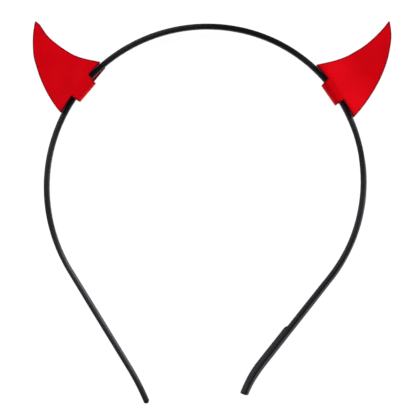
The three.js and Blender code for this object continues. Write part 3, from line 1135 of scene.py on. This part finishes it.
def horn_material():
    nodes = Nodes("red_fabric")
    place, along, across = flat_places(nodes)
    position = nodes.add("ShaderNodeNewGeometry").outputs["Position"]
    wobble = nodes.math("MULTIPLY", nodes.noise(place, HORN_WOBBLE_SCALE), HORN_WOBBLE)
    warp = threads(nodes, across, HORN_THREAD_PITCH, wobble)
    weft = threads(nodes, along, HORN_THREAD_PITCH, wobble)
    weave = nodes.math("MULTIPLY", warp, weft)
    fibres = nodes.noise(position, HORN_FIBRE_SCALE, 4, HORN_FIBRE_ROUGHNESS)
    height = nodes.math("ADD", nodes.math("MULTIPLY", weave, HORN_WEAVE_SHARE), fibres)
    set_relief(nodes, height, HORN_RELIEF_STRENGTH, HORN_RELIEF)
    patches = nodes.spread(nodes.noise(position, HORN_PATCH_SCALE, 3), *HORN_PATCH_RANGE)
    colour = nodes.mix(patches, HORN_RED, HORN_DEEP_RED)
    speckle = nodes.spread(fibres, *HORN_SPECKLE_RANGE, 0.0, HORN_SPECKLE_SHARE)
    colour = nodes.mix(speckle, colour, HORN_SPECKLE)
    # Painted shade: the colour darkens within a fraction of a millimetre of the sheet's outline, and noise
    # wobbles how far in the darkening reaches.
    edge = nodes.add("ShaderNodeAttribute", {"attribute_name": "from_edge"}).outputs["Fac"]
    edge_shade_wobble = nodes.math("MULTIPLY", nodes.noise(position, HORN_EDGE_SHADE_WOBBLE_SCALE), HORN_EDGE_SHADE_WOBBLE)
    edge_shade_share = nodes.spread(nodes.math("ADD", edge, edge_shade_wobble), *HORN_EDGE_SHADE_RANGE)
    colour = nodes.mix(edge_shade_share, colour, HORN_EDGE_SHADE)
    shader = nodes.shader
    nodes.feed(shader, "Base Color", colour)
    nodes.feed(shader, "Roughness", nodes.spread(fibres, *FIBRE_RANGE, *HORN_ROUGHNESS))
    shader.inputs["Specular IOR Level"].default_value = 0.1
    shader.inputs["Specular Tint"].default_value = HORN_SHEEN_TINT
    return nodes.material


def floor_material():
    nodes = Nodes("white_floor")
    shader = nodes.shader
    shader.inputs["Base Color"].default_value = FLOOR_GREY
    shader.inputs["Roughness"].default_value = 0.9
    shader.inputs["Specular IOR Level"].default_value = 0
    shader.inputs["Emission Color"].default_value = WHITE
    shader.inputs["Emission Strength"].default_value = FLOOR_GLOW
    return nodes.material


# The floor and the lamps, in metres and watts. Each lamp has its name, place, size and power.

FLOOR_HALF = 2.5
FLOOR_GAP = 0.00002
WORLD_STRENGTH = 0.02
LAMPS = (
    ("key", (1.13, 0.73, 0.35), 0.4, 12.3),
    ("high", (1.0, 0.62, 0.9), 0.4, 5.6),
    ("side", (1.1, -0.1, 0.4), 0.4, 3.2),
    ("back", (-0.2, 0.5, 0.35), 0.3, 1.1),
    ("fill", (-0.4, -0.1, 0.45), 0.5, 0.75),
    ("left", (-1.1, 0.5, 0.8), 0.8, 7.6),
)

# The camera, in millimetres. It looks straight down, and its frame spans the photo's width at the height of
# the photo's plane.

PHOTO_CENTRE = (-1.584, 1.509)
PHOTO_WIDTH = 160.16
PHOTO_PLANE = 5.0
CAMERA_DISTANCE = 900.0
SENSOR_WIDTH = 36.0
NEAREST_SEEN = 10.0
FARTHEST_SEEN = 10000.0


def make_floor():
    corners = [(-1, -1), (1, -1), (1, 1), (-1, 1)]
    points = [(x * FLOOR_HALF, y * FLOOR_HALF, -FLOOR_GAP) for x, y in corners]
    mesh = bpy.data.meshes.new("floor")
    mesh.from_pydata(points, [], [(0, 1, 2, 3)])
    floor = bpy.data.objects.new("floor", mesh)
    bpy.context.scene.collection.objects.link(floor)
    floor.data.materials.append(floor_material())


def make_lamp(name, place, size, power):
    """A square soft lamp that faces the object."""
    data = bpy.data.lights.new(name, "AREA")
    data.shape = "SQUARE"
    data.size = size
    data.energy = power
    lamp = bpy.data.objects.new(name, data)
    lamp.location = place
    lamp.rotation_euler = (-Vector(place)).to_track_quat("-Z", "Y").to_euler()
    bpy.context.scene.collection.objects.link(lamp)


def make_world():
    world = bpy.data.worlds.new("studio")
    world.use_nodes = True
    background = world.node_tree.nodes["Background"]
    background.inputs["Color"].default_value = WHITE
    background.inputs["Strength"].default_value = WORLD_STRENGTH
    bpy.context.scene.world = world


def make_camera():
    data = bpy.data.cameras.new("camera")
    data.sensor_width = SENSOR_WIDTH
    data.lens = SENSOR_WIDTH * CAMERA_DISTANCE / PHOTO_WIDTH
    data.clip_start = NEAREST_SEEN * MM
    data.clip_end = FARTHEST_SEEN * MM
    camera = bpy.data.objects.new("camera", data)
    camera.location = (
        PHOTO_CENTRE[0] * MM,
        PHOTO_CENTRE[1] * MM,
        (PHOTO_PLANE + CAMERA_DISTANCE) * MM,
    )
    bpy.context.scene.collection.objects.link(camera)
    bpy.context.scene.camera = camera


def dress(made, node, material):
    made.data.materials.append(material)
    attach(made, "root")
    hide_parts(node)


def main():
    make_camera()
    make_floor()
    make_world()
    for lamp in LAMPS:
        make_lamp(*lamp)
    bpy.context.scene.view_settings.view_transform = "Standard"

    headband = make_headband()
    turn_faces_out(headband)
    dress(headband, "headband", satin_material())

    red = horn_material()
    for name, node, horn in (
        ("left_horn_sheet", "horn_left", LEFT_HORN),
        ("right_horn_sheet", "horn_right", RIGHT_HORN),
    ):
        sheet, cut_size, cut_area = make_horn(name, horn)
        dress(sheet, node, red)


main()
